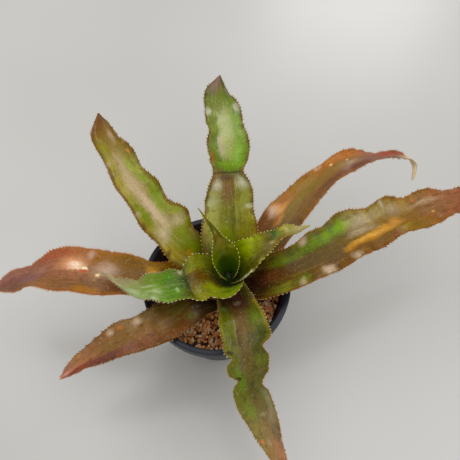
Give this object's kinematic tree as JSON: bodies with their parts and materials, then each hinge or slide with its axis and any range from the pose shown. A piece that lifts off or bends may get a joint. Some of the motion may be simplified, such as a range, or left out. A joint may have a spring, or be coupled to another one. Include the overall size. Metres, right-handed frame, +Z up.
{
  "type": "potted bromeliad",
  "caption": "Young bromeliad rosette with strap-shaped, spine-edged arching leaves round a central cup, growing in gritty mix in a round dark plastic nursery pot.",
  "frame": {"origin": "centre of the pot's base, on the table", "axes": "+Z up along the pot's axis; +X to the side the longest leaf reaches to; +Y towards the side of the upright leaves"},
  "size_m": [0.3787, 0.2631, 0.1568],
  "materials": {
    "pot_plastic": "glossy moulded near-black navy plastic",
    "grit": "loose reddish-brown granules",
    "stem_tissue": "fibrous, matt",
    "leaf_brown": "satin, brown to maroon over olive green",
    "leaf_copper": "satin, copper brown",
    "leaf_olive": "satin, olive green with brown margins",
    "leaf_green": "satin, yellow green with silvery scales"
  },
  "bodies": {
    "root": {"pot": "pot_plastic", "planting_mix": "grit", "stem": "stem_tissue", "leaf_southwest": "leaf_brown", "leaf_northeast": "leaf_copper", "leaf_west": "leaf_copper", "leaf_east": "leaf_brown", "leaf_northwest": "leaf_olive", "leaf_south": "leaf_olive", "leaf_north": "leaf_green", "leaf_inner_left": "leaf_green", "leaf_inner_right": "leaf_green", "leaf_heart": "leaf_green"}
  },
  "joints": []
}
